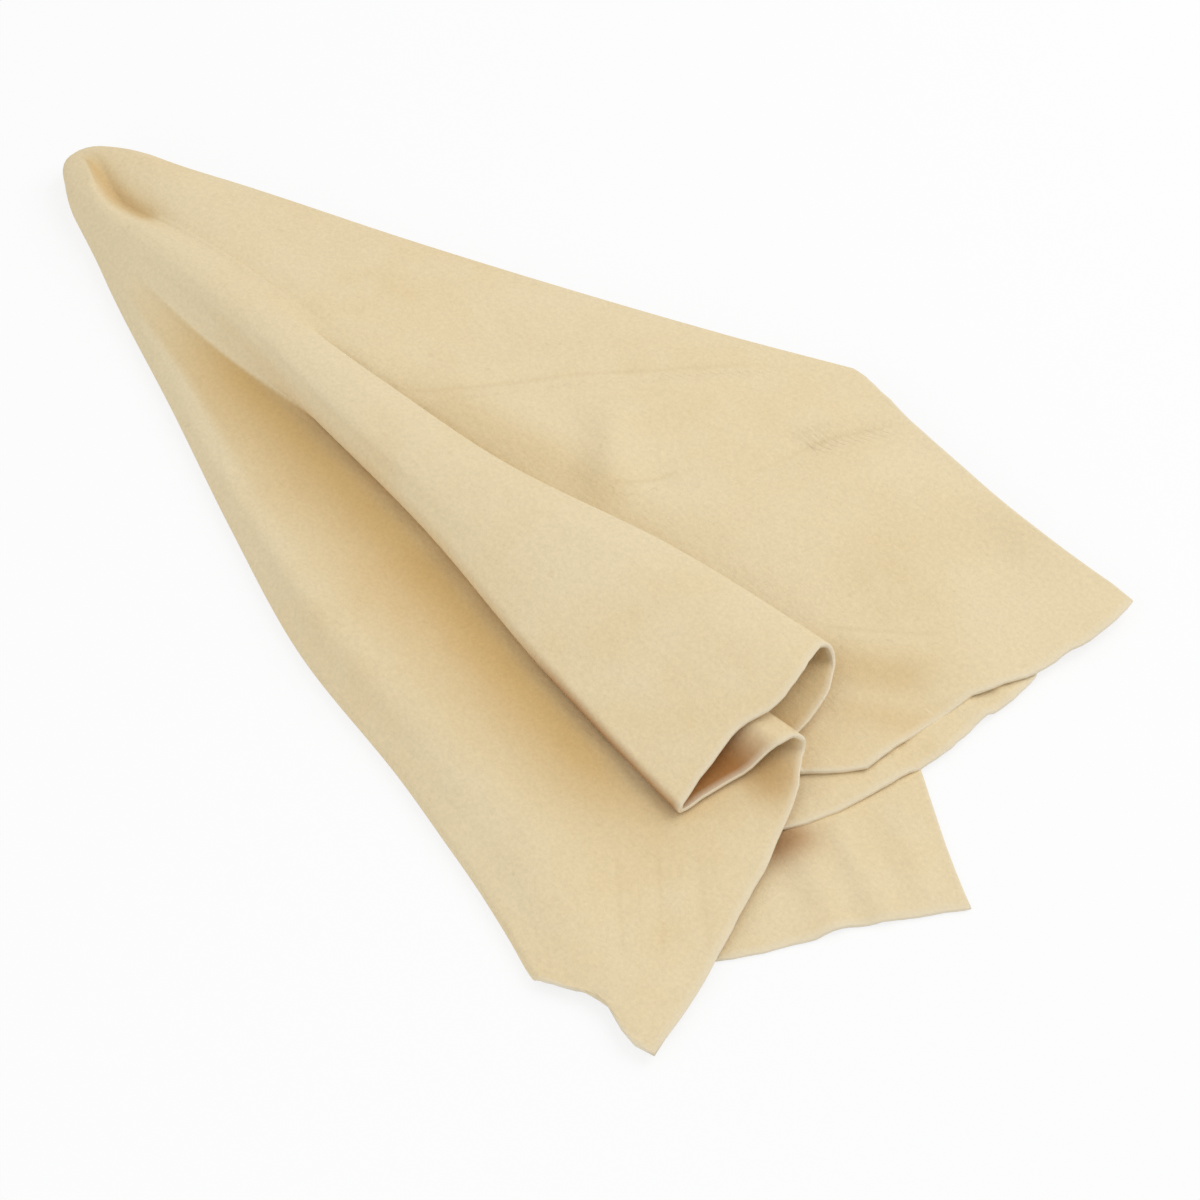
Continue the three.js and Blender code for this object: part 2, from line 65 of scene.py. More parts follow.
# The lines that the folds are drawn through, in order round the section: name, and at
# each station how far across the middle of the sheet lies and how high.
FOLD_LINES = [
    ("right fold, upper",
     (17.8, 25.2, 36.4, 58.8, 80.7, 103.9, 134.4, 165.5, 198),
     (9.98, 9.6, 9.6, 9.8, 9.9, 10, 9.5, 8, 8)),
    ("right panel by cut side",
     (17.59, 21.54, 30, 48.98, 67.04, 86.04, 104.72, 129.2, 155),
     (10.87, 12.1, 12.4, 12.9, 13, 12.5, 10.5, 7.5, 7)),
    ("right panel corner",
     (16.53, 18.5, 23, 39, 54, 70, 88, 110, 133),
     (11.41, 14, 14.5, 14.5, 14, 13.5, 11, 5.5, 3.4)),
    ("right panel, outer",
     (14.44, 15, 17, 29, 42, 54, 70, 88, 106),
     (11.81, 13.8, 14.9, 15, 15, 14.5, 12, 4.7, 3.8)),
    ("right panel, middle",
     (12.42, 10.5, 11, 19, 28, 36, 47, 58, 70),
     (12.03, 12.8, 14.3, 17.2, 16.3, 15, 12, 4.8, 4.1)),
    ("right panel, inner",
     (10.67, 6, 7, 9.5, 12.5, 17, 22, 28, 34),
     (11.8, 10.9, 13.4, 17.8, 17.9, 15, 12, 4.8, 4.3)),
    ("inner fold, lower",
     (9.08, 3, 4.6, 6.5, 1, 2, 4, 1, 0),
     (11.3, 7.9, 12.3, 18.2, 14.8, 13.5, 11, 5, 4.8)),
    ("inner fold, upper",
     (7.91, 1.4, 3.2, 5, 0.5, 1.5, 3.5, 0.6, -0.4),
     (11, 8, 12.5, 18.6, 17.6, 17, 14.5, 8.1, 7.8)),
    ("upper lobe floor",
     (6.74, 0, 1.8, 3.8, 2, 5, 14, 22, 28),
     (11, 8.8, 13.1, 19.1, 19, 18.5, 16, 13, 13)),
    ("roll right edge, lower",
     (5.56, -1.6, 0.4, 2.4, 5, 9, 23, 32, 39),
     (11.3, 10.4, 13.9, 19.7, 19, 18.5, 17, 15, 15)),
    ("roll right edge, upper",
     (4.39, -3.2, -1.5, 0.4, 4, 8.5, 23, 32, 39),
     (11.6, 12, 15, 20.7, 21.8, 22.5, 22.5, 22.5, 22.5)),
    ("roll top, right",
     (2.78, -5, -4.5, -4.5, -4, -1, 9, 18, 23),
     (11.71, 12.6, 15.6, 21.5, 23.6, 24, 24, 23.5, 23.5)),
    ("roll top, left",
     (1.01, -6.4, -7.5, -8.8, -13.2, -13.6, -12.5, -8, -7),
     (11.42, 12.2, 15, 20.6, 22, 21.5, 19.9, 18.28, 17.5)),
    ("roll left edge, upper",
     (-0.65, -7.6, -9.6, -11.8, -16.4, -21, -30.1, -36.6, -39.2),
     (11.07, 11.5, 13.8, 18, 17.2, 16.4, 14.2, 11.4, 10.6)),
    ("roll left edge, lower",
     (-2, -8.5, -11, -13.2, -16.8, -21.4, -30.5, -36.6, -39.2),
     (10.72, 10.8, 12.8, 15.2, 13.9, 13.3, 11.4, 8.7, 7.7)),
    ("lower lobe floor",
     (-3.05, -9.3, -12.2, -14.8, -15.4, -16.5, -16, -15, -14),
     (10.4, 10.1, 11.9, 13.4, 12.3, 12, 11.3, 9.5, 9.5)),
    ("rise to curl",
     (-3.84, -10, -13.2, -16, -13.8, -11, -8, -4, -2),
     (10.11, 9.4, 11.1, 12.1, 12.4, 13.6, 14.5, 17, 17)),
    ("curl, upper",
     (-4.56, -10.6, -14.2, -17.3, -12.3, -8, -3, 4, 6),
     (9.81, 8.7, 10.3, 11.1, 12.7, 13.5, 14.5, 16.5, 16.5)),
    ("curl, lower",
     (-5.19, -11.1, -15.2, -18.8, -12.8, -8.5, -3, 4, 6),
     (9.49, 8, 9.5, 10.3, 10, 10, 9.6, 11.2, 11.2)),
    ("left panel under roll",
     (-5.83, -11.5, -16.4, -21.5, -22.5, -24, -22, -18, -16),
     (9.1, 7.3, 8.7, 9.6, 10.4, 10.2, 9.2, 6.7, 5.2)),
    ("left panel, inner",
     (-6.26, -11.9, -17.7, -26, -35, -39, -42, -45, -47),
     (8.61, 6.6, 7.9, 9.2, 8.7, 8.6, 7.7, 5.5, 3.2)),
    ("left panel, middle",
     (-6.6, -12.2, -19, -30.5, -44, -54, -61, -66, -68),
     (8.04, 5.9, 7, 8.8, 8.9, 9.8, 9.8, 5.6, 2.6)),
    ("left panel corner",
     (-6.83, -12.5, -20.1, -34.5, -50.7, -64.7, -72.5, -85.5, -105.4),
     (7.47, 5.2, 6, 7.7, 8, 8.6, 8, 6, 1.3)),
    ("left panel by fold",
     (-6.79, -12.7, -20.9, -37.3, -53.9, -69.2, -79, -93.6, -107),
     (6.9, 4.4, 4.9, 6.1, 6.5, 6.5, 5.7, 4.2, 1.5)),
    ("left fold, upper",
     (-6.78, -12.7, -21.3, -39.7, -57.3, -73.1, -82.9, -98.9, -106.5),
     (6.12, 3.7, 3.6, 3.8, 3.6, 3.6, 3.4, 3.2, 2.7)),
    ("left fold, lower",
     (-5.99, -11.6, -21.3, -39.7, -57.3, -73.1, -82.9, -98.9, -106.5),
     (4.34, 2, 0.75, 0.75, 0.75, 0.75, 0.75, 0.75, 0.75)),
    ("bottom layer, left",
     (-3.05, -8, -10, -22, -33, -42, -52, -60, -68),
     (2.32, 0.9, 0.75, 0.75, 0.75, 0.75, 0.75, 0.75, 0.75)),
    ("bottom layer, right",
     (1.88, 0, 9, 14, 20, 24, 30, 36, 42),
     (1.32, 0.75, 0.75, 0.75, 0.75, 0.75, 0.75, 0.75, 0.75)),
    ("hidden right fold, lower",
     (7.68, 10.1, 22, 42, 58, 75, 95, 118, 140),
     (1.54, 0.75, 0.75, 0.75, 0.75, 0.75, 0.75, 0.75, 0.75)),
    ("hidden right fold, upper",
     (9.54, 11, 22, 42, 58, 75, 95, 118, 140),
     (1.87, 2.3, 3.75, 3.75, 3.75, 3.75, 3.75, 3.75, 3.75)),
    ("second layer, right",
     (10.9, 10.35, 17, 32, 46, 60, 80, 85, 80),
     (2.19, 3.3, 3.75, 3.75, 3.75, 3.75, 2.5, 1.2, 0.75)),
    ("second layer corner",
     (11.99, 9.55, 12, 14, 16, 17, 14, 8, -4.1),
     (2.5, 3.7, 3.75, 3.75, 3.75, 3.75, 2.5, 1.2, 0.75)),
    ("second layer, middle",
     (13.04, 8.85, 8, 0, -3, -6, -11, -16, -22),
     (2.86, 4.1, 3.75, 3.75, 3.75, 3.75, 2.5, 1, 0.75)),
    ("second layer, left",
     (14.05, 8.2, 4, -14, -20, -28, -36, -44, -52),
     (3.25, 4.45, 3.75, 3.75, 3.75, 3.75, 2.2, 0.75, 0.75)),
    ("hidden left fold, lower",
     (15, 7.5, 0, -26, -38, -50, -62, -72, -82),
     (3.68, 5.2, 3.75, 3.75, 3.75, 3.75, 2.6, 0.9, 0.75)),
    ("hidden left fold, upper",
     (15.88, 8.2, 0, -26, -38, -50, -62, -72, -82),
     (4.13, 7.4, 6.5, 6.5, 6.5, 6.5, 5.8, 3.5, 3.1)),
    ("third layer, left",
     (16.69, 10.8, 4, -4, -8, -12, -16, -20, -24),
     (4.62, 7.9, 6.75, 7, 7, 6.8, 5.4, 3, 2.6)),
    ("third layer, middle",
     (17.56, 13.8, 12, 18, 22, 26, 34, 42, 50),
     (5.23, 7.6, 7, 7.2, 7.2, 6.8, 5, 2.8, 2.5)),
    ("third layer corner",
     (18.42, 17.3, 20, 35, 48, 60, 72, 84, 98),
     (5.99, 7, 6.5, 6.8, 6.8, 6.8, 4.8, 2.5, 2)),
    ("third layer, right",
     (18.66, 20.54, 30.04, 49.98, 70.04, 91.04, 113.22, 139.7, 165),
     (6.99, 6, 5.5, 6, 6, 6, 4.8, 3, 2.5)),
    ("right fold, lower",
     (18.07, 25.2, 36.4, 58.8, 80.7, 103.9, 134.4, 165.5, 198),
     (8.25, 5.5, 4.8, 4.3, 4.3, 4.3, 4, 4, 4)),
]

# Neighbouring lines that turn back on each other at a fold
FOLDS = [
    ("right fold, lower", "right fold, upper"),
    ("inner fold, lower", "inner fold, upper"),
    ("roll right edge, lower", "roll right edge, upper"),
    ("roll left edge, upper", "roll left edge, lower"),
    ("curl, upper", "curl, lower"),
    ("left fold, upper", "left fold, lower"),
    ("hidden right fold, lower", "hidden right fold, upper"),
    ("hidden left fold, lower", "hidden left fold, upper"),
]


def eased_lines():
    """The fold lines with one more on each side of every fold, as far from it as the
    fold is high but at most half way to the next line, so that folds turn round.
    Gives names, across and rise, one row per line."""
    names = [row[0] for row in FOLD_LINES]
    across = np.array([row[1] for row in FOLD_LINES], float)
    rise = np.array([row[2] for row in FOLD_LINES], float)
    count = len(names)
    rows = []

    def between(k, other, partner):
        high = np.hypot(across[k] - across[partner], rise[k] - rise[partner])
        far = np.hypot(across[k] - across[other], rise[k] - rise[other])
        part = np.minimum(0.5, high / far)
        rows.append((names[k] + " approach",
                     across[k] + (across[other] - across[k]) * part,
                     rise[k] + (rise[other] - rise[k]) * part))

    for k, name in enumerate(names):
        if any(name == first for first, _ in FOLDS):
            between(k, (k - 1) % count, (k + 1) % count)
        rows.append((name, across[k], rise[k]))
        if any(name == second for _, second in FOLDS):
            between(k, (k + 1) % count, (k - 1) % count)
    eased_names, eased_across, eased_rise = zip(*rows)
    return list(eased_names), np.array(eased_across), np.array(eased_rise)


LINE_NAMES, LINE_ACROSS, LINE_RISE = eased_lines()
LINE_COUNT = len(LINE_NAMES)


def place_of(name):
    """Place round the section, in lines, where a line has its greatest say."""
    return LINE_NAMES.index(name) + 0.5


def along_stations(table, x):
    """Cubic Hermite curve through each row's values at the stations, with slopes
    taken across the neighbouring stations, read at x of shape (rows, n)."""
    slope = np.gradient(table, STATIONS, axis=1)
    at = np.clip(x, STATIONS[0], STATIONS[-1])
    i = np.clip(np.searchsorted(STATIONS, at, side="right") - 1, 0, len(STATIONS) - 2)
    h = STATIONS[i + 1] - STATIONS[i]
    t = (at - STATIONS[i]) / h
    row = np.arange(len(table))[:, None]
    return ((2 * t**3 - 3 * t**2 + 1) * table[row, i] + (t**3 - 2 * t**2 + t) * slope[row, i] * h
            + (3 * t**2 - 2 * t**3) * table[row, i + 1] + (t**3 - t**2) * slope[row, i + 1] * h)


def columns_round():
    """Places round the section, close together in the folds and wider on the panels:
    each line's stretch, about as long as half the way to each neighbour, is split
    into even steps, finer where the sheet is seen than where it is hidden, and finest
    where it turns."""
    open_y = LINE_ACROSS[:, OPEN_STATION]
    open_z = LINE_RISE[:, OPEN_STATION]
    gap = np.hypot(np.roll(open_y, -1) - open_y, np.roll(open_z, -1) - open_z)
    stretch = (gap + np.roll(gap, 1)) / 2
    folded = np.array([any(name in pair for pair in FOLDS) for name in LINE_NAMES])
    hidden = np.array(["bottom" in name or "hidden" in name or name == "third layer, left"
                       for name in LINE_NAMES])
    step = np.where(hidden, HIDDEN_STEP, SEEN_STEP)
    steps = np.maximum(np.ceil(stretch / step), LEAST_STEPS).astype(int)
    steps[folded] = TURN_STEPS
    return np.concatenate([k + np.arange(n) / n for k, n in enumerate(steps)])


# Where the sheet is cut: places round the section, counted in lines with the added
# ones, and how far along the folds the cut lies there
CUT = np.array([
    (0.5, 237.4), (0.9, 240.3), (1.3, 245.4), (1.6, 251.1), (1.9, 260.9), (2.2, 275.4),
    (2.5, 292.6), (2.8, 310.3), (3, 322.8), (3.1, 329.3), (3.2, 336.1), (3.3, 343.9),
    (3.4, 352.3), (3.45, 355.9), (3.5, 358.1), (3.8, 359.1), (4.1, 359.4), (4.4, 358.7),
    (4.7, 357.6), (4.95, 357.1), (5.2, 354.4), (5.4, 352.5), (5.6, 349.7), (5.8, 349.2),
    (6.1, 348.5), (6.4, 348.1), (6.7, 347.7), (7, 347.4), (7.3, 343.6), (7.6, 339.6),
    (7.9, 337.3), (8.2, 336.6), (8.5, 336.4), (9.5, 331), (10.5, 328.2), (11, 327.2),
    (11.5, 325.5), (12, 324.2), (12.5, 322.9), (13, 321.5), (13.5, 320), (14.5, 317.5),
    (15, 316.7), (15.5, 317.3), (16, 318.4), (16.3, 319.4), (16.6, 320.7), (16.9, 322.2),
    (17.1, 321.9), (17.3, 320.3), (17.6, 319.8), (17.9, 321.1), (18.3, 322.8), (18.7, 324.1),
    (19.1, 324.5), (19.5, 324.8), (20.5, 324.7), (21, 324.7), (21.5, 325.1), (22, 326),
    (22.4, 327.1), (22.8, 328.4), (23.1, 329.3), (23.5, 330.1), (24, 331.1), (24.5, 331.4),
    (25, 331.7), (25.5, 333.4), (26.5, 334.4), (27, 335.7), (27.5, 338.6), (28, 342.9),
    (28.5, 348), (29, 353.6), (29.5, 358.8), (30, 363.4), (30.5, 367.7), (31, 372.5),
    (31.5, 376.1), (32.5, 352.5), (33.5, 341.2), (34.5, 336.8), (35.5, 334), (37.5, 240),
    (38.5, 200), (40.5, 205), (41.5, 210), (43.5, 245), (44, 337.5), (44.1, 340.2),
    (44.2, 356.8), (44.3, 371.3), (44.4, 385.4), (44.5, 400.2), (44.65, 395.7), (44.8, 393),
    (45, 390.2), (45.2, 387.9), (45.4, 385.2), (45.6, 381.9), (45.8, 380), (46, 377.9),
    (46.2, 375), (46.4, 372.5), (46.5, 371.4), (46.7, 368.3), (46.9, 364.8), (47.1, 362.3),
    (48.5, 357), (49.5, 354), (51.5, 344), (51.65, 348.2), (51.8, 351.5), (52, 353.9),
    (52.2, 356.2), (52.4, 357.9), (52.55, 358.1), (52.7, 356.6), (52.85, 357.2), (53, 358.1),
    (53.15, 357.3), (53.25, 356.4), (53.5, 350), (54.5, 266), (56.5, 233),
])


def reach_at(u):
    """How far along the folds the cut lies at place u, straight from point to point."""
    return np.interp(u, CUT[:, 0], CUT[:, 1], period=LINE_COUNT)


def soft_step(t):
    """0 below 0, 1 above 1, and 3t^2 - 2t^3 between."""
    t = np.clip(t, 0, 1)
    return t * t * (3 - 2 * t)


def window(u, first, last, ease=0.8):
    """1 on the places between two named lines, easing to 0 over a few lines outside."""
    a, b = place_of(first), place_of(last)
    return soft_step((u - a) / ease + 1) * soft_step((b - u) / ease + 1)


WAVES_EACH = 5                  # sine waves that ripples sums for one wavelength


def ripples(a, b, waves, seed):
    """Sum of sine waves over a and b with seeded directions and phases; waves holds
    (wavelength, height, spread of direction, direction in degrees), and each of them
    gives several waves, from 0.75 to 1.35 times as long as it says."""
    rng = np.random.default_rng(seed)
    total = np.zeros(np.broadcast(a, b).shape)
    for length, height, spread_of, direction in waves:
        for _ in range(WAVES_EACH):
            turn = np.radians(direction + rng.uniform(-spread_of, spread_of))
            size = length * rng.uniform(0.75, 1.35)
            phase = rng.uniform(0, 2 * np.pi)
            along = a * np.cos(turn) + b * np.sin(turn)
            total += height / WAVES_EACH**0.5 * np.sin(2 * np.pi * along / size + phase)
    return total


def from_path(x, y, path):
    """Signed distance in plan from a bent line and how far along it the nearest point
    lies, from 0 to 1; the left side of the line counts as positive."""
    path = np.array(path, float)
    lengths = np.hypot(*np.diff(path, axis=0).T)
    done = np.concatenate([[0], np.cumsum(lengths)])
    best = np.full(np.shape(x), np.inf)
    side = np.zeros(np.shape(x))
    along = np.zeros(np.shape(x))
    for k, size in enumerate(lengths):
        dx, dy = (path[k + 1] - path[k]) / size
        s = np.clip((x - path[k, 0]) * dx + (y - path[k, 1]) * dy, 0, size)
        d = np.hypot(x - path[k, 0] - s * dx, y - path[k, 1] - s * dy)
        near = d < best
        best = np.where(near, d, best)
        side = np.where(near, np.sign(dx * (y - path[k, 1]) - dy * (x - path[k, 0])), side)
        along = np.where(near, (done[k] + s) / done[-1], along)
    return best * side, along


def crease(x, y, path, depth, width, ends):
    """A pressed line: depth times exp(-(distance / width)^2), dying out over a share of
    its length at each end."""
    d, s = from_path(x, y, path)
    fade = soft_step(s / ends) * soft_step((1 - s) / ends)
    return depth * np.exp(-(d / width) ** 2) * fade


def bend(x, y, path, height, width, ends):
    """A shallow roof along a line: height times (1 - |distance| / width), rounded by
    a millimetre or two at its top, dying out at its ends."""
    d, s = from_path(x, y, path)
    roof = np.clip(1 - np.sqrt(d**2 + 2) / width, 0, None)
    return height * roof**1.5 * soft_step(s / ends) * soft_step((1 - s) / ends)


def bump(x, y, centre, height, size):
    """A soft mound: height times exp(-(distance / size)^2)."""
    return height * np.exp(-((x - centre[0]) ** 2 + (y - centre[1]) ** 2) / size**2)


def middle_of_sheet(u, x):
    """Middle of the sheet's thickness at places u round and distances x along, as a
    closed quadratic B-spline across the lines: a place i + t takes (1 - t)^2 / 2 of
    line i - 1, 1/2 + t(1 - t) of line i and t^2 / 2 of line i + 1. At the nose the
    section shrinks to a point as sqrt(s(2 - s)), s the share of the nose's depth."""
    i = np.floor(u).astype(int)
    t = (u - i)[:, None]
    y = np.zeros_like(x)
    z = np.zeros_like(x)
    for step, weight in ((-1, 0.5 * (1 - t) ** 2), (0, 0.5 + t * (1 - t)), (1, 0.5 * t**2)):
        line = (i + step) % LINE_COUNT
        y += weight * along_stations(LINE_ACROSS[line], x)
        z += weight * along_stations(LINE_RISE[line], x)
    s = np.clip((x - NOSE[0]) / NOSE_DEPTH, 0, 1)
    dome = np.sqrt(s * (2 - s))
    return np.stack([x, NOSE[1] + (y - NOSE[1]) * dome, NOSE[2] + (z - NOSE[2]) * dome], -1)


def cut_edge_waves(u):
    """Small unevenness of the hand-cut edge: how far it runs in or out at place u."""
    y = np.interp(u, np.arange(LINE_COUNT) + 0.5, LINE_ACROSS[:, EDGE_STATION])
    return ripples(y, 3 * u, [(24, 0.22, 20, 0), (9, 0.14, 20, 0), (4, 0.06, 20, 0)], seed=11)


# Thin creases pressed into the sheet, as bent lines in plan
NOSE_CREASE = [(26, 4), (40, 3.5), (70, 6), (112, 9.5), (136, 11)]
LONG_CREASE = [(150, 4), (160.5, 15.4), (169, 28.7), (183, 52.7), (201, 76.7), (211.5, 93.2),
               (224, 108.4), (236, 120)]
PINCH_CREASE = [(224, 30), (228, 35), (231, 42), (234, 51)]
SIDE_CREASE = [(248, 64), (250, 71), (252.5, 84), (255.5, 96), (261, 110), (266, 119)]
MOUTH_CREASE = [(304, 42), (308, 45.8), (317, 55.2), (325.5, 63.7), (330, 69)]
LEFT_CREASES = [
    [(336, -40), (350, -51), (366, -64)],
    [(328, -48), (342, -60), (357, -73)],
    [(322, -58), (336, -70), (350, -82)],
]


# Forms in relief on a panel, in the order they are added: kind, where it lies in plan,
# how high, how wide, and for a line the share of it that dies out at each end
RIGHT_FORMS = [
    # A long thin crease from the roll to the right fold's end, and one from the nose
    (crease, LONG_CREASE, -0.5, 3.2, 0.08),
    (crease, NOSE_CREASE, -0.7, 4.0, 0.15),
    (bend, [(150, 14), (162, 33), (176, 55), (193, 78), (208, 100), (226, 122)], 1.3, 14, 0.2),
    # A pinch beside the roll, with a crease running on to the cut side
    (crease, PINCH_CREASE, -0.6, 3.2, 0.3),
    (crease, SIDE_CREASE, -1.0, 3.6, 0.25),
    (bend, [(243, 66), (247, 80), (250, 96), (256, 112)], 0.9, 9, 0.3),
    (bend, [(198, 56), (207, 47), (217, 38), (229, 28)], 2.4, 11, 0.35),
    (bump, (225, 31.5), 1.1, 7),
    (bump, (213, 24), -1.0, 9),
    (bump, (233, 47), -1.4, 8),
    (bump, (196, 40), -0.8, 9),
    # Slack in front of them, towards the mouth
    (bump, (264, 86), 1.1, 14),
    (bump, (299, 62), -1.4, 15),
    (bump, (321, 102), -1.2, 11),
    (bump, (288, 98), 0.9, 12),
    (crease, [(322, 50), (332, 66), (343, 80), (355, 92)], -0.6, 3.4, 0.3),
    (crease, MOUTH_CREASE, -0.35, 3.2, 0.3),
    (bend, [(302, 18), (316, 34), (328, 52), (342, 76), (354, 94)], 1.9, 20, 0.3),
    (bump, (337, 44), -1.3, 11),
]
LEFT_FORMS = [
    # A ridge down its middle, and faint pulls that run out to the corner
    (bend, [(140, -52), (180, -61), (241, -68), (300, -70), (340, -82), (366, -92)], 2.3, 24, 0.3),
    (crease, LEFT_CREASES[0], -0.6, 3.4, 0.3),
    (crease, LEFT_CREASES[1], -0.5, 3.2, 0.3),
    (crease, LEFT_CREASES[2], -0.5, 3.2, 0.3),
    (bump, (312, -66), 0.7, 16),
]
ROLL_END = ((322, -33), -0.5, 10)
SECOND_FORMS = [
    (bend, [(342, -12), (358, -18), (374, -26), (388, -34)], 2.4, 9, 0.2),
    (bend, [(350, -1), (362, -7), (376, -12), (392, -18)], 2.6, 9, 0.2),
    (bend, [(360, 14), (376, 5), (394, -3)], 1.5, 9, 0.25),
]

# Wrinkles, as ripples takes them
RIGHT_WAVES = [(74, 0.45, 60, 40), (36, 0.2, 80, 40), (15, 0.05, 90, 0)]
LEFT_WAVES = [(62, 0.35, 30, -70), (24, 0.14, 60, -70), (13, 0.04, 90, 0)]
ROLL_WAVES = [(80, 0.3, 30, 20), (30, 0.1, 60, 50), (14, 0.03, 90, 0)]
SECOND_WAVES = [(30, 0.2, 40, 60), (12, 0.05, 90, 0)]
FRILL_WAVES = [(15, 0.4, 15, 90), (7.5, 0.45, 20, 90), (5, 0.3, 25, 90)]
EDGE_WAVES = [(38, 0.3, 40, 60), (16, 0.12, 60, 60)]


def formed(x, y, forms):
    """Sum of the heights of a table of forms."""
    return sum(kind(x, y, *measures) for kind, *measures in forms)


def relief(u, x, y, reach):
    """Height of creases and wrinkles over the smooth folds, in mm upwards: the forms
    and waves of each panel, times how far a place belongs to it."""
    from_cut = np.clip(reach - x, 0, None)
    behind_neck = soft_step((x - 20) / 90)
    right = window(u, "right panel by cut side", "right panel, inner", 1.5)
    left = window(u, "left panel under roll", "left panel corner", 1.2)
    roll = window(u, "roll top, right", "roll top, left", 1.5)
    second = window(u, "second layer, right", "second layer, middle", 1.2)
    third = window(u, "third layer, left", "third layer corner", 1.2)

    h = right * (formed(x, y, RIGHT_FORMS) + behind_neck * ripples(x, y, RIGHT_WAVES, seed=3))
    h += left * (formed(x, y, LEFT_FORMS) + behind_neck * ripples(x, y, LEFT_WAVES, seed=5))
    # Roll: long slack waves, and its lower end bows down to the panel
    h += roll * behind_neck * ripples(x, y, ROLL_WAVES, seed=7)
    h += roll * bump(x, y, *ROLL_END)
    # Second layer: flutes that hang from the third layer's edge to the front cut
    flutes = soft_step((x - 335) / 20)
    h += second * flutes * (formed(x, y, SECOND_FORMS) + ripples(x, y, SECOND_WAVES, seed=9))
    # Third layer: its cut edge is frilled, less and less over 12 mm from the cut
    h += third * np.exp(-from_cut / 12) * ripples(x, y, FRILL_WAVES, seed=13)
    # Open edges of the upper layers lift and dip a little, over 7 mm from the cut
    open_edges = np.exp(-from_cut / 7) * (right + left + 0.6 * roll)
    h += open_edges * ripples(x, y, EDGE_WAVES, seed=15)
    return h


# Where shade is painted into the colour, as lines in plan: the hollow behind the nose, the
# strip under the curl and the gap under the third layer's edge
NOSE_HOLLOW = [(3, 4), (10, 3), (18, 2), (34, 2.5)]
UNDER_CURL = [(315, -9), (324, -8.5), (333, -8)]
UNDER_THIRD = [(340, -33), (347, -23), (350, -16)]

# Dips of the right panel, with their shade painted into the colour, and a few faint darker
# patches: lines in plan and widths
PINCH_DIP = ([(168, 15), (194, 21), (227, 26)], 9)
MOUTH_DIP = ([(312, 32), (322, 40), (331, 48)], 9)
EDGE_DIP = ([(332, 28), (348, 41)], 8)
WARM_PATCHES = [([(299, 68), (303, 74)], 11), ([(313, 62), (317, 70)], 9),
                ([(306, 100), (314, 110)], 13), ([(252, 33), (259, 37)], 10)]


def mound(x, y, path, width):
    """A soft mound along a line: exp(-(distance / width)^2)."""
    return np.exp(-(from_path(x, y, path)[0] / width) ** 2)


def painted_fold_shade(u, x, y):
    """Painted shade in the folds, from 0 to 1: how much the colour is darkened and browned
    where shade falls. On the left of the roll it falls off from the roll's edge as
    exp(-(distance / 25)^1.8), and is less by up to a half right at the edge, as
    exp(-(distance / 5)^2), where the roll is not yet near its end. On the right of the roll
    it falls off as exp(-(distance / 13)^1.5). The shade in the hollow behind the nose, in
    the strip under the curl and in the dips, and a few faint darker patches, are soft
    mounds; inside the upper lobe it grows towards the mouth."""
    def line(name):
        row = LINE_ACROSS[[LINE_NAMES.index(name)]]
        return along_stations(row, x.reshape(1, -1)).reshape(x.shape)

    valley = window(u, "curl, lower", "left panel, middle", 1.0) * soft_step((x - 38) / 80)
    from_roll = np.clip(line("roll left edge, upper") - y, 0, None)
    valley = valley * np.exp(-(from_roll / 25) ** 1.8) * soft_step((350 - x) / 68)
    valley = valley * (1 - 0.5 * np.exp(-(from_roll / 5) ** 2) * soft_step((322 - x) / 15))
    right = window(u, "right panel by cut side", "inner fold, lower", 1.0)
    past_roll = np.clip(y - line("roll right edge, upper"), 0, None)
    beside = 0.4 * right * soft_step((x - 135) / 40) * soft_step((300 - x) / 90)
    beside = beside * np.exp(-(past_roll / 13) ** 1.5)
    pinch = 0.3 * right * mound(x, y, *PINCH_DIP)
    mouth = 0.4 * right * np.maximum(mound(x, y, *MOUTH_DIP), 0.7 * mound(x, y, *EDGE_DIP))
    patches = 0.1 * right * np.max([mound(x, y, *patch) for patch in WARM_PATCHES], axis=0)
    nose = window(u, "right panel, outer", "roll right edge, upper", 1.0)
    nose = 0.6 * nose * mound(x, y, NOSE_HOLLOW, 4.6)
    upper_lobe = window(u, "inner fold, upper", "roll right edge, lower", 0.8)
    upper_lobe = 0.45 * upper_lobe * soft_step((x - 240) / 40)
    under_curl = window(u, "curl, lower", "left panel under roll", 1.0)
    under_curl = 0.72 * under_curl * mound(x, y, UNDER_CURL, 9)
    return np.max([valley, beside, pinch, mouth, patches, nose, under_curl, upper_lobe], axis=0)


def painted_inner_shade(u, x, y):
    """Painted shade inside the lobes and layers, from 0 to 1, which darkens and browns the
    colour there: the lower lobe where the roll opens, and soft mounds under the third layer
    and under the curl."""
    lower_lobe = window(u, "roll left edge, lower", "lower lobe floor", 1.6)
    lower_lobe = lower_lobe * soft_step((x - 240) / 40)
    second = window(u, "second layer, right", "second layer, left", 1.0)
    under_third = 0.75 * second * mound(x, y, UNDER_THIRD, 7)
    under_curl = 0.25 * window(u, "curl, lower", "left panel under roll", 1.0)
    under_curl = under_curl * mound(x, y, UNDER_CURL, 9)
    return np.max([lower_lobe, under_third, under_curl], axis=0)


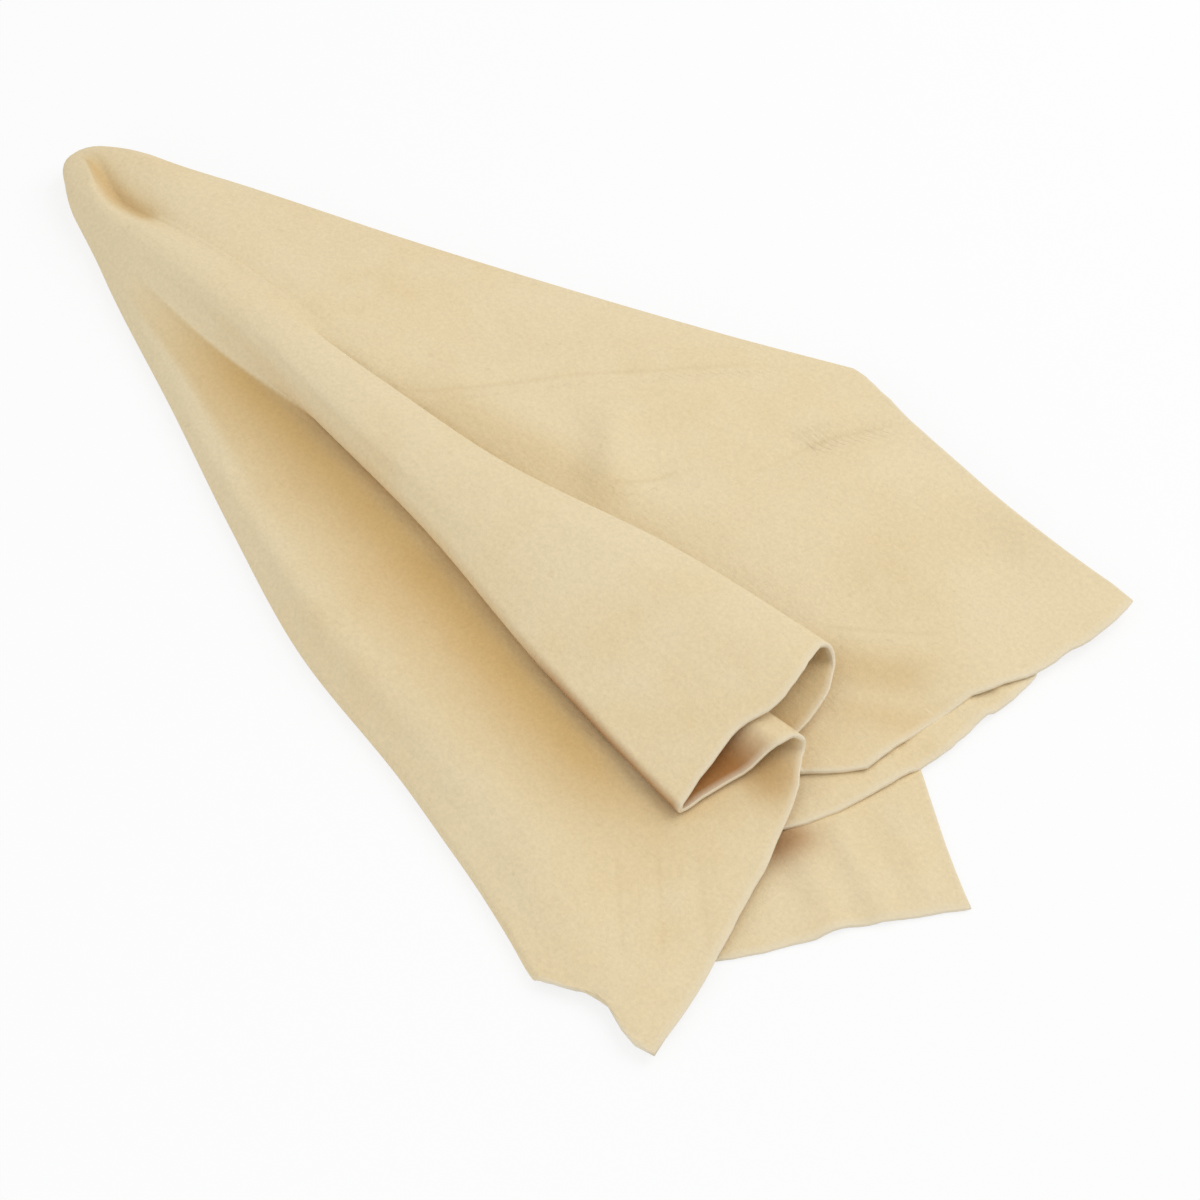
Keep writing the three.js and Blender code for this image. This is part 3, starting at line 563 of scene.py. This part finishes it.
def pressed(u, x, y):
    """The nearest thin crease: signed distance to it in mm, and how strong it is, from
    0 to 1, which fades at its ends and from 3 to 6 mm away from it."""
    right = window(u, "right panel by cut side", "right panel, inner", 1.0)
    left = window(u, "left panel under roll", "left panel corner", 1.0)
    lines = [(LONG_CREASE, 0.5, right), (NOSE_CREASE, 0.35, right), (PINCH_CREASE, 0.6, right),
             (SIDE_CREASE, 0.5, right), (MOUTH_CREASE, 0.5, right)]
    lines += [(path, 0.35, left) for path in LEFT_CREASES]
    distance = np.full(np.shape(x), 99.0)
    strength = np.zeros(np.shape(x))
    for path, most, where in lines:
        d, s = from_path(x, y, path)
        share = most * where * soft_step(s / 0.1) * soft_step((1 - s) / 0.15)
        share = share * soft_step((6 - np.abs(d)) / 3)
        near = (share > 0) & (np.abs(d) < np.abs(distance))
        distance = np.where(near, d, distance)
        strength = np.where(near, share, strength)
    return distance, strength


def unit(v):
    """Vectors scaled to a length of 1."""
    return v / np.maximum(np.linalg.norm(v, axis=-1, keepdims=True), 1e-9)


def face_normals(p):
    """Outward normals of a closed round of points: along the column crossed with
    round the section, by central differences."""
    down = np.empty_like(p)
    down[:, 1:-1] = p[:, 2:] - p[:, :-2]
    down[:, 0] = p[:, 1] - np.array(NOSE)
    down[:, -1] = p[:, -1] - p[:, -2]
    round_ = np.roll(p, -1, 0) - np.roll(p, 1, 0)
    return unit(np.cross(round_, down))


CORNERS = ("right panel corner", "left panel corner", "second layer corner",
           "third layer corner")

# The rounded rim along the cut: how far to each side in half thicknesses, and how far
# out in mm, row by row
RIM = ((0.82, 0.28), (0, 0.42), (-0.82, 0.28))
RIM_ROWS = len(RIM)


def rows_along(reach):
    """How far along the folds each row of the mesh lies: as 1 - cos of even steps over
    the nose's dome, in even steps on the neck and on to where the folds open, and in
    even shares of the rest of the way to the cut."""
    dome = NOSE[0] + NOSE_DEPTH * (1 - np.cos(np.linspace(0, np.pi / 2, DOME_ROWS + 1)[1:]))
    neck = np.linspace(dome[-1], NECK_END, NECK_ROWS + 1)[1:]
    fold = np.linspace(neck[-1], FOLD_END, FOLD_ROWS + 1)[1:]
    start = np.concatenate([dome, neck, fold])
    open_share = np.linspace(0, 1, OPEN_ROWS + 1)[1:]
    return np.concatenate([
        np.broadcast_to(start, (len(reach), len(start))),
        start[-1] + (reach[:, None] - start[-1]) * open_share[None],
    ], 1)


def left_border_drawn_in(u, x, y):
    """How far the left border is moved inward: a shallow bite out of the cut edge, just
    in front of the left fold, and the fold itself drawn in a little 299 mm along and
    out a little 336 mm along. Each is a bell exp(-(distance / width)^2) along the
    folds, and falls off inward as exp(-distance / 14)."""
    beside = window(u, "left panel, middle", "left fold, lower", 1.0)
    bite = 5.1 * np.exp(-((x - 353.5) / np.where(x > 353.5, 11.5, 9.0)) ** 2) * beside
    drawn = 1.5 * np.exp(-((x - 299) / 20) ** 2) - 1.5 * np.exp(-((x - 336) / 11) ** 2)
    bite = bite + drawn * beside
    return bite * np.exp(-np.clip(y + 99, 0, None) / 14)


def faces(*corners):
    """Faces as rows of corner numbers, from one array of numbers for each corner."""
    return np.stack(np.broadcast_arrays(*corners), -1).reshape(-1, len(corners))


def chamois_mesh():
    """The sheet: both faces half a thickness to each side of its middle, closed at the
    nose by a pole each and at the cut by a rounded rim of three rows."""
    corner_places = [place_of(name) for name in CORNERS]
    u = np.union1d(columns_round(), corner_places)
    to_corner = np.min([np.abs(u - place) for place in corner_places], axis=0)
    reach = reach_at(u) + cut_edge_waves(u) * soft_step(to_corner / 0.6)
    x = rows_along(reach)
    mid = middle_of_sheet(u, x)
    mid[..., 1] += left_border_drawn_in(u[:, None], x, mid[..., 1])
    normal = face_normals(mid)
    upward = np.where(normal[..., 2:] < 0, -1.0, 1.0)
    raised = relief(u[:, None], mid[..., 0], mid[..., 1], reach[:, None])
    mid = mid + normal * upward * raised[..., None]
    normal = face_normals(mid)
    half = SKIN / 2
    columns, rows = x.shape
    outer = mid + normal * half
    inner = mid - normal * half
    cut_middle, cut_normal = mid[:, -1], normal[:, -1]
    along_cut = np.roll(cut_middle, -1, 0) - np.roll(cut_middle, 1, 0)
    out = unit(np.cross(cut_normal, along_cut))
    rim = np.stack([cut_middle + cut_normal * half * a + out * b for a, b in RIM], 1)
    pole = np.array([NOSE])
    points = np.concatenate([
        pole - [[half, 0, 0]], outer.reshape(-1, 3), rim.reshape(-1, 3),
        inner.reshape(-1, 3), pole + [[half, 0, 0]],
    ])
    points[:, 2] = np.maximum(points[:, 2], REST_CUT)
    points = (points + TABLE_TO_FRAME) * MM

    c = np.arange(columns)[:, None]
    nxt = (c + 1) % columns
    first_outer, first_rim = 1, 1 + columns * rows
    first_inner = first_rim + columns * RIM_ROWS
    last = first_inner + columns * rows

    def at_outer(column, row):
        return first_outer + column * rows + row

    def at_inner(column, row):
        return first_inner + column * rows + row

    def at_rim(column, row):
        return first_rim + column * RIM_ROWS + row

    r = np.arange(rows - 1)[None]
    end = rows - 1
    quads = np.concatenate([
        faces(at_outer(c, r), at_outer(nxt, r), at_outer(nxt, r + 1), at_outer(c, r + 1)),
        faces(at_inner(c, r), at_inner(c, r + 1), at_inner(nxt, r + 1), at_inner(nxt, r)),
        faces(at_outer(c, end), at_outer(nxt, end), at_rim(nxt, 0), at_rim(c, 0)),
        faces(at_rim(c, 0), at_rim(nxt, 0), at_rim(nxt, 1), at_rim(c, 1)),
        faces(at_rim(c, 1), at_rim(nxt, 1), at_rim(nxt, 2), at_rim(c, 2)),
        faces(at_rim(c, 2), at_rim(nxt, 2), at_inner(nxt, end), at_inner(c, end)),
    ])
    fans = np.concatenate([
        faces(0, at_outer(nxt, 0), at_outer(c, 0)),
        faces(last, at_inner(c, 0), at_inner(nxt, 0)),
    ])
    mesh = bpy.data.meshes.new("chamois_suede")
    mesh.from_pydata(points.tolist(), [], quads.tolist() + fans.tolist())
    mesh.polygons.foreach_set("use_smooth", np.ones(len(mesh.polygons), bool))

    def keep(name, on_faces, on_rim):
        values = np.zeros(len(points))
        values[first_outer:first_rim] = on_faces.ravel()
        values[first_rim:first_inner] = on_rim
        values[first_inner:last] = on_faces.ravel()
        mesh.attributes.new(name, "FLOAT", "POINT").data.foreach_set("value", values)

    # How near the cut each point lies, for the paler raw edge; the painted shade in the folds
    # and inside the lobes, which darkens and browns the colour; and the thin creases, grooved
    # and with shade painted along them
    keep("cut", 0.55 * np.exp(-((reach[:, None] - x) / 1.1) ** 2), 1)
    across = mid[..., 1]
    crease_distance, crease_depth = pressed(u[:, None], x, across)
    for name, share in (("hollow", painted_fold_shade(u[:, None], x, across)),
                        ("inside", painted_inner_shade(u[:, None], x, across)),
                        ("crease_distance", crease_distance), ("crease_depth", crease_depth)):
        keep(name, share, np.repeat(0.3 * share[:, -1], RIM_ROWS))
    mesh.update()
    return mesh


def add(tree, kind, links=None, **values):
    """A node with its settings and socket values; links name the outputs fed to it."""
    made = tree.nodes.new(kind)
    for name, value in values.items():
        if hasattr(made, name):
            setattr(made, name, value)
        else:
            made.inputs[name.replace("_", " ")].default_value = value
    for name, output in (links or {}).items():
        tree.links.new(output, made.inputs[name])
    return made


def mixed(tree, share, first, second, blend="MIX"):
    """Colour mixed from first to second by share; each may be a value or an output.
    They are sockets 0, 6 and 7 of the node, and the colour is its output 2."""
    made = tree.nodes.new("ShaderNodeMix")
    made.data_type = "RGBA"
    made.blend_type = blend
    for place, given in ((0, share), (6, first), (7, second)):
        if isinstance(given, bpy.types.NodeSocket):
            tree.links.new(given, made.inputs[place])
        else:
            made.inputs[place].default_value = given
    return made.outputs[2]


def spread(tree, value, low, high, to_low=0.0, to_high=1.0):
    """A value's range from low to high stretched to another range, kept inside it."""
    return add(tree, "ShaderNodeMapRange", {"Value": value}, From_Min=low, From_Max=high,
               To_Min=to_low, To_Max=to_high).outputs["Result"]


def product(tree, first, second):
    """Product of two outputs."""
    return add(tree, "ShaderNodeMath", {0: first, 1: second}, operation="MULTIPLY").outputs[0]


def colour(red, green, blue):
    """A colour written as it shows on a screen, from 0 to 255, as a shader needs it."""
    c = np.array([red, green, blue]) / 255
    return (*np.where(c <= 0.04045, c / 12.92, ((c + 0.055) / 1.055) ** 2.4), 1.0)


def group(name, takes, gives):
    """An empty node group with named inputs, (name, kind, value), and outputs."""
    tree = bpy.data.node_groups.new(name, "ShaderNodeTree")
    for label, kind, value in takes:
        made = tree.interface.new_socket(label, in_out="INPUT", socket_type=kind)
        if value is not None:
            made.default_value = value
    for label, kind in gives:
        tree.interface.new_socket(label, in_out="OUTPUT", socket_type=kind)
    return tree, tree.nodes.new("NodeGroupInput").outputs, tree.nodes.new("NodeGroupOutput").inputs


def suede_tone_group():
    """Colour of suede: two tones in broad patches, softer mottling inside them, a fine
    fleck in the nap and a scatter of darker pores."""
    tree, takes, gives = group(
        "Suede tone",
        [("Position", "NodeSocketVector", None), ("Light tone", "NodeSocketColor", (1, 1, 1, 1)),
         ("Warm tone", "NodeSocketColor", (1, 1, 1, 1)), ("Patches", "NodeSocketFloat", 1.0),
         ("Fleck", "NodeSocketFloat", 0.05)],
        [("Color", "NodeSocketColor")])
    here = {"Vector": takes["Position"]}
    broad = add(tree, "ShaderNodeTexNoise", here, Scale=11.0, Detail=3.0, Roughness=0.5,
                Distortion=0.4)
    mottle = add(tree, "ShaderNodeTexNoise", here, Scale=62.0, Detail=4.0, Roughness=0.6)
    fleck = add(tree, "ShaderNodeTexNoise", here, Scale=820.0, Detail=2.0, Roughness=0.6)
    pores = add(tree, "ShaderNodeTexNoise", here, Scale=310.0, Detail=1.0, Roughness=0.4)
    patch = product(tree, spread(tree, broad.outputs["Fac"], 0.38, 0.66),
                    spread(tree, mottle.outputs["Fac"], 0.35, 0.7, 0.25, 1.0))
    share = product(tree, patch, takes["Patches"])
    toned = mixed(tree, share, takes["Light tone"], takes["Warm tone"])
    grain = spread(tree, fleck.outputs["Fac"], 0.3, 0.7, -1.0, 1.0)
    lift = product(tree, grain, takes["Fleck"])
    around = add(tree, "ShaderNodeMath", {0: lift}, operation="ADD")
    around.inputs[1].default_value = 1.0
    flecked = add(tree, "ShaderNodeVectorMath", {0: toned}, operation="SCALE")
    tree.links.new(around.outputs[0], flecked.inputs["Scale"])
    pore = spread(tree, pores.outputs["Fac"], 0.74, 0.80, 0.0, 0.12)
    tree.links.new(mixed(tree, pore, flecked.outputs[0], colour(186, 156, 112)), gives["Color"])
    return tree


def suede_nap_group():
    """Height of the nap: short matted fibres lying two ways, longer strokes where it
    was brushed, little tufts, and the slow cockle of a skin that has been wet and dried."""
    tree, takes, gives = group(
        "Suede nap",
        [("Position", "NodeSocketVector", None), ("Fibres", "NodeSocketFloat", 1.0),
         ("Strokes", "NodeSocketFloat", 1.0), ("Tufts", "NodeSocketFloat", 1.0),
         ("Cockle", "NodeSocketFloat", 1.0)],
        [("Height", "NodeSocketFloat")])

    def lying(turn, stretch, scale, detail):
        turned = add(tree, "ShaderNodeMapping", {"Vector": takes["Position"]}, vector_type="POINT")
        turned.inputs["Rotation"].default_value = turn
        turned.inputs["Scale"].default_value = stretch
        return add(tree, "ShaderNodeTexNoise", {"Vector": turned.outputs[0]}, Scale=scale,
                   Detail=detail, Roughness=0.62).outputs["Fac"]

    def upright(scale, detail, roughness):
        return add(tree, "ShaderNodeTexNoise", {"Vector": takes["Position"]}, Scale=scale,
                   Detail=detail, Roughness=roughness).outputs["Fac"]

    one_way = lying((0.3, 0.2, 0.9), (1, 2.6, 1.6), 1100.0, 3.0)
    other_way = lying((-0.2, 0.4, -0.5), (2.4, 1, 1.5), 950.0, 3.0)
    strokes = lying((0.0, 0.0, 0.35), (0.28, 1, 1), 620.0, 2.0)
    tufts = upright(420.0, 3.0, 0.55)
    cockle = upright(90.0, 2.0, 0.5)
    fibres = add(tree, "ShaderNodeMath", {0: one_way, 1: other_way}, operation="ADD").outputs[0]
    total = product(tree, fibres, takes["Fibres"])
    for height, amount in ((strokes, "Strokes"), (tufts, "Tufts"), (cockle, "Cockle")):
        total = add(tree, "ShaderNodeMath", {0: total, 1: product(tree, height, takes[amount])},
                    operation="ADD").outputs[0]
    tree.links.new(total, gives["Height"])
    return tree


def pressed_line_group():
    """A thin crease: a groove of exp(-(distance / width)^2) times a depth, used for the bump
    and for the shade painted along it.
    """
    tree, takes, gives = group(
        "Pressed line",
        [("Distance", "NodeSocketFloat", 99.0), ("Depth", "NodeSocketFloat", 0.0),
         ("Width", "NodeSocketFloat", 0.9)],
        [("Groove", "NodeSocketFloat")])
    share = add(tree, "ShaderNodeMath", {0: takes["Distance"], 1: takes["Width"]},
                operation="DIVIDE").outputs[0]
    less = add(tree, "ShaderNodeMath", {0: product(tree, share, share)}, operation="MULTIPLY")
    less.inputs[1].default_value = -1.0
    bell = add(tree, "ShaderNodeMath", {0: less.outputs[0]}, operation="EXPONENT")
    tree.links.new(product(tree, bell.outputs[0], takes["Depth"]), gives["Groove"])
    return tree


SUEDE_TONE = suede_tone_group()
SUEDE_NAP = suede_nap_group()
PRESSED_LINE = pressed_line_group()


def placed(tree, made_group, links, **values):
    """A group's node with its socket values; links name the outputs fed to it."""
    made = tree.nodes.new("ShaderNodeGroup")
    made.node_tree = made_group
    for name, value in values.items():
        made.inputs[name.replace("_", " ")].default_value = value
    for name, output in links.items():
        tree.links.new(output, made.inputs[name])
    return made


GROOVE_WIDTH = 0.9              # of a thin crease, in mm
GROOVE_IN_NAP = -0.15           # height of a full groove beside the nap's


def suede(name, light, warm, patches, fleck, fibres, strokes, tufts, cockle,
          fold_shade_tint, shaded, raw, crease_shade_tint):
    """Suede in two tones, rough all over, with a soft sheen from its nap; darker and browner
    in the folds and inside the lobes by painted shade, paler at the raw cut, and grooved by
    thin creases with shade painted along them."""
    made = bpy.data.materials.new(name)
    made.use_nodes = True
    tree = made.node_tree
    shader = tree.nodes["Principled BSDF"]
    here = add(tree, "ShaderNodeTexCoord").outputs["Object"]

    def stored(attribute):
        return add(tree, "ShaderNodeAttribute", attribute_name=attribute).outputs["Fac"]

    tone = placed(tree, SUEDE_TONE, {"Position": here}, Light_tone=light, Warm_tone=warm,
                  Patches=patches, Fleck=fleck)
    base = tone.outputs["Color"]
    # Painted shade: darker and browner in the folds and inside the lobes
    for where, tint in (("hollow", fold_shade_tint), ("inside", shaded)):
        base = mixed(tree, stored(where), base, tint, "MULTIPLY")
    base = mixed(tree, stored("cut"), base, raw)
    line = placed(tree, PRESSED_LINE, {"Distance": stored("crease_distance"),
                                       "Depth": stored("crease_depth")}, Width=GROOVE_WIDTH)
    groove = line.outputs["Groove"]
    # Painted shade along the thin creases, besides their groove in the bump
    base = mixed(tree, groove, base, crease_shade_tint, "MULTIPLY")
    tree.links.new(base, shader.inputs["Base Color"])
    nap = placed(tree, SUEDE_NAP, {"Position": here}, Fibres=fibres, Strokes=strokes,
                 Tufts=tufts, Cockle=cockle)
    grooved = add(tree, "ShaderNodeMath", {0: groove, 2: nap.outputs["Height"]},
                  operation="MULTIPLY_ADD")
    grooved.inputs[1].default_value = GROOVE_IN_NAP
    bumped = add(tree, "ShaderNodeBump", {"Height": grooved.outputs[0]}, Strength=1.0, Distance=MM)
    tree.links.new(bumped.outputs[0], shader.inputs["Normal"])
    worn = add(tree, "ShaderNodeTexNoise", {"Vector": here}, Scale=130.0, Detail=3.0)
    roughness = spread(tree, worn.outputs["Fac"], 0.3, 0.7, 0.84, 0.97)
    tree.links.new(roughness, shader.inputs["Roughness"])
    shader.inputs["Specular IOR Level"].default_value = 0.18
    shader.inputs["Sheen Weight"].default_value = 0.12
    shader.inputs["Sheen Roughness"].default_value = 0.55
    shader.inputs["Sheen Tint"].default_value = colour(255, 244, 222)
    made.diffuse_color = light
    return made


def seen_directly(tree):
    """1 for rays from the camera, off a gloss or through glass, and 0 for all others."""
    rays = add(tree, "ShaderNodeLightPath").outputs
    either = add(tree, "ShaderNodeMath", {0: rays["Is Camera Ray"], 1: rays["Is Glossy Ray"]},
                 operation="MAXIMUM")
    return add(tree, "ShaderNodeMath", {0: either.outputs[0], 1: rays["Is Transmission Ray"]},
               operation="MAXIMUM").outputs[0]


GLOW_SHARE = 0.8                # share of the ground's white that needs no light


def white_ground():
    """Ground that looks white, and that keeps a part of the shade of what lies on it."""
    made = bpy.data.materials.new("ground_white")
    made.use_nodes = True
    tree = made.node_tree
    tree.nodes.clear()
    matt = add(tree, "ShaderNodeBsdfDiffuse", Color=(0.93, 0.93, 0.93, 1))
    glow = add(tree, "ShaderNodeEmission", Color=(1, 1, 1, 1), Strength=1.0)
    share = add(tree, "ShaderNodeMath", {0: seen_directly(tree)}, operation="MULTIPLY")
    share.inputs[1].default_value = GLOW_SHARE
    both = add(tree, "ShaderNodeMixShader",
               {0: share.outputs[0], 1: matt.outputs[0], 2: glow.outputs[0]})
    out = tree.nodes.new("ShaderNodeOutputMaterial")
    tree.links.new(both.outputs[0], out.inputs["Surface"])
    return made


def white_world(strength):
    """Even sky light; white where the camera or a reflection looks past the ground."""
    world = bpy.data.worlds.new("studio")
    bpy.context.scene.world = world
    world.use_nodes = True
    tree = world.node_tree
    tree.nodes.clear()
    sky = add(tree, "ShaderNodeBackground", Color=(0.97, 0.985, 1.0, 1), Strength=strength)
    white = add(tree, "ShaderNodeBackground", Color=(1, 1, 1, 1), Strength=1.0)
    both = add(tree, "ShaderNodeMixShader",
               {0: seen_directly(tree), 1: sky.outputs[0], 2: white.outputs[0]})
    out = tree.nodes.new("ShaderNodeOutputWorld")
    tree.links.new(both.outputs[0], out.inputs["Surface"])


def turned_from(place, target):
    """Rotation that points an object's -Z from a place to a target, its Y upwards."""
    back = unit(np.array(place, float) - np.array(target, float))
    right = unit(np.cross([0, 0, 1.0], back))
    up = np.cross(back, right)
    return Matrix(np.stack([right, up, back], 1).tolist()).to_euler()


def soft_lamp(name, place, size, power, tint):
    """A round lamp at a place, turned to the middle of the leather."""
    lamp = bpy.data.lights.new(name, "AREA")
    lamp.shape = "DISK"
    lamp.size = size
    lamp.energy = power
    lamp.color = tint
    made = bpy.data.objects.new(name, lamp)
    made.location = place
    made.rotation_euler = turned_from(place, (0, 0, 0))
    bpy.context.collection.objects.link(made)


# The leather
leather = bpy.data.objects.new("chamois_leather", chamois_mesh())
bpy.context.collection.objects.link(leather)
leather.data.materials.append(suede(
    "suede_face", light=colour(234, 216, 178), warm=colour(231, 206, 160), patches=0.7,
    fleck=0.045, fibres=0.085, strokes=0.14, tufts=0.18, cockle=0.5,
    # Painted shade tints: in the folds, inside the lobes and along the thin creases
    fold_shade_tint=colour(225, 201, 153), shaded=colour(184, 141, 98), raw=colour(236, 223, 196),
    crease_shade_tint=colour(246, 243, 238)))
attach(leather, "root")
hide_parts("chamois_sheet")

# Ground, light and camera, in metres
GROUND_HALF = 8
GROUND_Z = -0.0004
EYE = (0.56811, -0.48690, 0.84215)
LOOKED_AT = (0.05099, -0.00468, -0.0005)
ground = bpy.data.meshes.new("ground")
ground.from_pydata([(x * GROUND_HALF, y * GROUND_HALF, GROUND_Z)
                    for x, y in ((-1, -1), (1, -1), (1, 1), (-1, 1))], [], [(0, 1, 2, 3)])
floor = bpy.data.objects.new("ground", ground)
floor.data.materials.append(white_ground())
bpy.context.collection.objects.link(floor)
white_world(strength=0.62)
soft_lamp("lamp_above_back", (0.35, 1.0, 1.15), size=1.4, power=10.7, tint=(1.0, 0.985, 0.96))
soft_lamp("lamp_front_left", (0.1, -1.05, 0.7), size=1.2, power=2.9, tint=(1.0, 0.99, 0.97))

camera = bpy.data.cameras.new("camera")
camera.lens = 110
camera.sensor_width = 36
camera.clip_start = 0.05
camera.clip_end = 60
eye = bpy.data.objects.new("camera", camera)
eye.location = EYE
eye.rotation_euler = turned_from(eye.location, LOOKED_AT)
bpy.context.collection.objects.link(eye)
bpy.context.scene.camera = eye
bpy.context.scene.view_settings.view_transform = "Standard"
